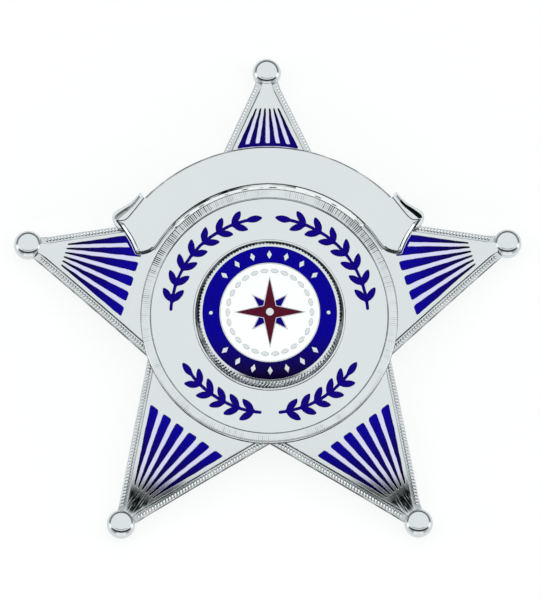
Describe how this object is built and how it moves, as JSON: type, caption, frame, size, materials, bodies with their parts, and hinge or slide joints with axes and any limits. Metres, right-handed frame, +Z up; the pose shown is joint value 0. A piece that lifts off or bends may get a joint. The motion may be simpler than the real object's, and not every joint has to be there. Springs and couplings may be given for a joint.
{
  "type": "sheriff star badge",
  "caption": "Domed star badge with ball tips, enamel rays, a blank ribbon, a round panel with leaf sprays, a raised enamelled seal and a pin at the back.",
  "frame": {"origin": "middle of the badge's box, on the surface that the badge lies on", "axes": "+X to the viewer's right across the badge, +Y towards its upper ball tip, +Z up out of its face"},
  "size_m": [0.0741, 0.0706, 0.0115],
  "materials": {
    "star_metal": "polished",
    "ribbon_metal": "polished",
    "panel_metal": "polished",
    "seal_metal": "polished",
    "pin_metal": "satin",
    "ray_blue_enamel": "gloss",
    "spray_blue_enamel": "gloss",
    "ring_blue_enamel": "gloss",
    "seal_blue_enamel": "gloss",
    "white_enamel": "gloss",
    "red_enamel": "gloss"
  },
  "bodies": {
    "root": {"star_plate": "star_metal", "ribbon_banner": "ribbon_metal", "centre_panel": "panel_metal", "seal_body": "seal_metal", "seal_ring_enamel": "ring_blue_enamel", "seal_field_enamel": "white_enamel", "seal_long_points": "red_enamel", "seal_short_points": "seal_blue_enamel", "leaf_spray_upper_left": "spray_blue_enamel", "leaf_spray_upper_right": "spray_blue_enamel", "leaf_spray_lower_left": "spray_blue_enamel", "leaf_spray_lower_right": "spray_blue_enamel", "rays_top_comb": "ray_blue_enamel", "rays_left_comb": "ray_blue_enamel", "rays_right_comb": "ray_blue_enamel", "ray_left_3": "ray_blue_enamel", "ray_left_4": "ray_blue_enamel", "ray_left_5": "ray_blue_enamel", "ray_left_6": "ray_blue_enamel", "ray_right_3": "ray_blue_enamel", "ray_right_4": "ray_blue_enamel", "ray_right_5": "ray_blue_enamel", "ray_right_6": "ray_blue_enamel", "ray_lower_left_1": "ray_blue_enamel", "ray_lower_left_2": "ray_blue_enamel", "ray_lower_left_3": "ray_blue_enamel", "ray_lower_left_4": "ray_blue_enamel", "ray_lower_left_5": "ray_blue_enamel", "ray_lower_left_6": "ray_blue_enamel", "ray_lower_right_1": "ray_blue_enamel", "ray_lower_right_2": "ray_blue_enamel", "ray_lower_right_3": "ray_blue_enamel", "ray_lower_right_4": "ray_blue_enamel", "ray_lower_right_5": "ray_blue_enamel", "ray_lower_right_6": "ray_blue_enamel", "pin_back": "pin_metal"}
  },
  "joints": []
}
